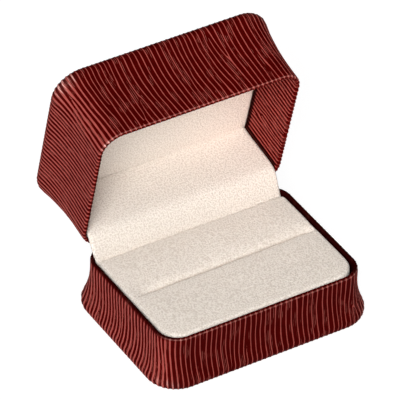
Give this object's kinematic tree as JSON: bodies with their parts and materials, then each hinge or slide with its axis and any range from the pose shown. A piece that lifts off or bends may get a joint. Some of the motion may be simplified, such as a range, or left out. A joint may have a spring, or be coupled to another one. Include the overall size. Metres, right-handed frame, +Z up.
{
  "type": "ring display box",
  "caption": "Flared leatherette ring box with a snap-hinged lid, suede lining and a two-part suede pad with a ring slot.",
  "frame": {"origin": "on the surface it stands on, under the middle of the base's rims", "axes": "+Z up, -Y towards the opening, +X to the right as seen from the front; the lid hinges at +Y"},
  "size_m": [0.071, 0.0754, 0.0723],
  "materials": {
    "leatherette": "ridged, satin",
    "moulding": "matte",
    "foot_card": "matte",
    "card": "matte",
    "foam": "matte",
    "suede": "pebbled nap",
    "hinge_brass": "satin",
    "hinge_steel": "satin"
  },
  "bodies": {
    "base": {"base_shell": "moulding", "base_cover": "leatherette", "underside_panel": "foot_card", "insert_card": "card", "front_foam": "foam", "rear_foam": "foam", "front_pad_cover": "suede", "rear_pad_cover": "suede", "hinge_base_leaf": "hinge_brass", "hinge_base_rivets": "hinge_brass", "hinge_pin": "hinge_steel", "hinge_spring": "hinge_steel", "hinge_lining": "suede"},
    "lid": {"lid_shell": "moulding", "lid_cover": "leatherette", "lid_top_panel": "leatherette", "lid_foam": "foam", "ceiling_board": "card", "back_panel_board": "card", "lid_lining": "suede", "hinge_lid_leaf": "hinge_brass", "hinge_lid_rivets": "hinge_brass"}
  },
  "joints": [
    {"name": "lid_hinge", "type": "hinge", "parent": "base", "child": "lid", "pos_m": [0, 0.02375, 0.01845], "axis": [1, 0, 0], "range_deg": [0, 76.6], "deforming": ["hinge_lining", "hinge_spring"]}
  ]
}
